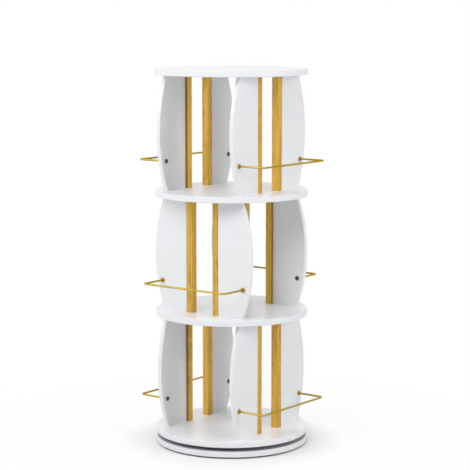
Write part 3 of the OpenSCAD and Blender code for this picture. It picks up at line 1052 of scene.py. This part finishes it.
class BOOKCASE_OT_pads(bpy.types.Operator):
    """Stick the ribbed anti-slip pads under the base disc"""

    bl_idname = "bookcase.pads"
    bl_label = "Stick pads"

    def execute(self, context):
        bearing = context.scene.bookcase_bearing
        skin = {"shade": 0.6, "roughness": 0.72, "grain": 1300, "depth": 4e-5}
        rubber = moulded("pad_rubber_black", bearing.rubber, **skin)
        first = math.pi / bearing.pad_count
        radius = (PADS_HIGH.x - bearing.pad / 2) / math.cos(first)
        shape = {"Count": bearing.pad_count, "Radius": radius, "First angle": first}
        shape["Material"] = rubber
        grown("grip_pads", ring_tree, shape, "base", ["base_pads"], pad_mesh(bearing))
        return {"FINISHED"}


LAMP_WIDTH = 1.8
LAMP_TARGET = Vector((0, 0, 0.5))
# Place and watts of each lamp
LAMPS = {
    "key_lamp": ((-2.2, -3.3, 2.4), 58),
    "side_lamp": ((3.8, 0.3, 1.8), 54),
    "high_lamp": ((0.9, -2.9, 3.0), 42),
    "back_lamp": ((-2.6, 3.0, 2.0), 26),
}

# The floor as the camera sees it: its darker grey under the base disc, which is painted shadow, and
# its grey beside it, the distances from the axis between which they blend, and the distances at
# which its fade to white slows and ends
FLOOR_PAINTED_SHADOW, FLOOR_BESIDE = (0.35, 0.35, 0.35, 1), (0.86, 0.86, 0.86, 1)
SHADE_IN, SHADE_OUT = 0.192, 0.198
FADE_SLOWS, FADE_ENDS = 0.30, 0.9
FADE_CLOSE, FADE_FAR = 0.87, 0.13
FLOOR_HALF_WIDTH = 60.0


def hang_lamp(name, place, watts):
    """A soft square lamp that the camera doesn't see. The one at the back gives no highlights."""
    light = bpy.data.lights.new(name, "AREA")
    light.size, light.energy = LAMP_WIDTH, watts
    made = linked(name, light)
    made.location = place
    made.rotation_euler = (LAMP_TARGET - Vector(place)).to_track_quat("-Z", "Y").to_euler()
    made.visible_camera = False
    made.visible_glossy = name != "back_lamp"


def seen_directly(wires):
    """1 for rays from the camera, or by way of a mirror or glass, and 0 for diffuse light."""
    rays = wires.node("ShaderNodeLightPath").outputs
    seen = wires.math("MAXIMUM", rays["Is Camera Ray"], rays["Is Glossy Ray"])
    return wires.math("MAXIMUM", seen, rays["Is Transmission Ray"])


class BOOKCASE_OT_stage(bpy.types.Operator):
    """Lay the floor, hang the lamps and place the camera"""

    bl_idname = "bookcase.stage"
    bl_label = "Set stage"

    def execute(self, context):
        stage = context.scene.bookcase_stage
        self.lay_floor(stage)
        self.light(stage)
        self.place_camera(stage)
        context.scene.view_settings.view_transform = "Standard"
        return {"FINISHED"}

    def lay_floor(self, stage):
        """A wide floor that keeps the soft shadow and fades to white away from the bookcase. Under
        the base disc its darker grey is painted shadow.
        """
        made = bpy.data.materials.new("pale_floor")
        made.use_nodes = True
        wires = Wiring(made.node_tree)
        made.node_tree.nodes.clear()
        distance = wires.vector_math("LENGTH", {0: wires.place()}, "Value")
        matt = wires.shader("BsdfDiffuse", {"Color": stage.floor})
        # Painted shadow: a darker grey under the base disc
        beside = wires.range(distance, SHADE_IN, SHADE_OUT)
        grey = wires.mixed(beside, FLOOR_PAINTED_SHADOW, FLOOR_BESIDE)
        pale = wires.shader("BsdfDiffuse", {"Color": grey})
        white = wires.shader("Emission")
        close = wires.range(distance, SHADE_OUT, FADE_SLOWS, 0.0, FADE_CLOSE)
        fade = wires.add(close, wires.range(distance, FADE_SLOWS, FADE_ENDS, 0.0, FADE_FAR))
        shown = wires.shaders(fade, pale, white)
        above = wires.shaders(seen_directly(wires), matt, shown)
        below = wires.shader("NewGeometry", output="Backfacing")
        clear = wires.shader("BsdfTransparent")
        wires.node("ShaderNodeOutputMaterial", {"Surface": wires.shaders(below, above, clear)})
        mesh = bpy.data.meshes.new("floor")
        far = FLOOR_HALF_WIDTH
        corners = [(-far, -far, 0), (far, -far, 0), (far, far, 0), (-far, far, 0)]
        mesh.from_pydata(corners, [], [(0, 1, 2, 3)])
        mesh.materials.append(made)
        floor = linked("floor", mesh)

    def light(self, stage):
        """Soft light that grows towards the zenith, a white surrounding and the lamps."""
        world = bpy.data.worlds.new("soft_studio")
        world.use_nodes = True
        bpy.context.scene.world = world
        wires = Wiring(world.node_tree)
        world.node_tree.nodes.clear()
        up = wires.split(wires.shader("TexCoord", output="Generated"))[2]
        strength = wires.times(wires.math("POWER", wires.range(up, 0.0, 1.0), 1.3), stage.daylight)
        soft = wires.shader("Background", {"Color": (0.96, 0.98, 1.0, 1), "Strength": strength})
        white = wires.shader("Background", {"Color": (1, 1, 1, 1)})
        seen = wires.shaders(seen_directly(wires), soft, white)
        wires.node("ShaderNodeOutputWorld", {"Surface": seen})
        for name, (place, watts) in LAMPS.items():
            hang_lamp(name, place, watts * stage.lamps)

    def place_camera(self, stage):
        """The camera at the photograph's viewing angle."""
        camera = bpy.data.cameras.new("camera")
        camera.lens = stage.lens
        camera.sensor_width = 36.0
        camera.clip_end = 200.0
        made = linked("camera", camera)
        away, turn = stage.camera_distance, stage.camera_turn
        made.location = (away * math.sin(turn), -away * math.cos(turn), stage.camera_height)
        made.rotation_euler = (math.pi / 2 - stage.camera_pitch, 0, turn - stage.camera_yaw)
        bpy.context.scene.camera = made


OPERATORS = (
    BOOKCASE_OT_boards,
    BOOKCASE_OT_posts,
    BOOKCASE_OT_rails,
    BOOKCASE_OT_collars,
    BOOKCASE_OT_nuts,
    BOOKCASE_OT_screws,
    BOOKCASE_OT_plugs,
    BOOKCASE_OT_dowels,
    BOOKCASE_OT_bearing,
    BOOKCASE_OT_pads,
    BOOKCASE_OT_stage,
)


class BOOKCASE_PT_panel(bpy.types.Panel):
    """The bookcase's settings and steps"""

    bl_idname = "BOOKCASE_PT_panel"
    bl_label = "Revolving bookcase"
    bl_space_type = "VIEW_3D"
    bl_region_type = "UI"
    bl_category = "Bookcase"

    def draw(self, context):
        for name, group in SETTINGS.items():
            box = self.layout.box()
            box.label(text=group.__doc__)
            for key in group.__annotations__:
                box.prop(getattr(context.scene, name), key)
        for operator in OPERATORS:
            self.layout.operator(operator.bl_idname)


def register():
    for name, group in SETTINGS.items():
        bpy.utils.register_class(group)
        setattr(bpy.types.Scene, name, PointerProperty(type=group))
    for made in (*OPERATORS, BOOKCASE_PT_panel):
        bpy.utils.register_class(made)


def unregister():
    for made in reversed((*OPERATORS, BOOKCASE_PT_panel)):
        bpy.utils.unregister_class(made)
    for name, group in reversed(SETTINGS.items()):
        delattr(bpy.types.Scene, name)
        bpy.utils.unregister_class(group)


def main():
    register()
    for operator in OPERATORS:
        step = operator.bl_idname.split(".")[1]
        getattr(bpy.ops.bookcase, step)()


if __name__ == "__main__":
    main()
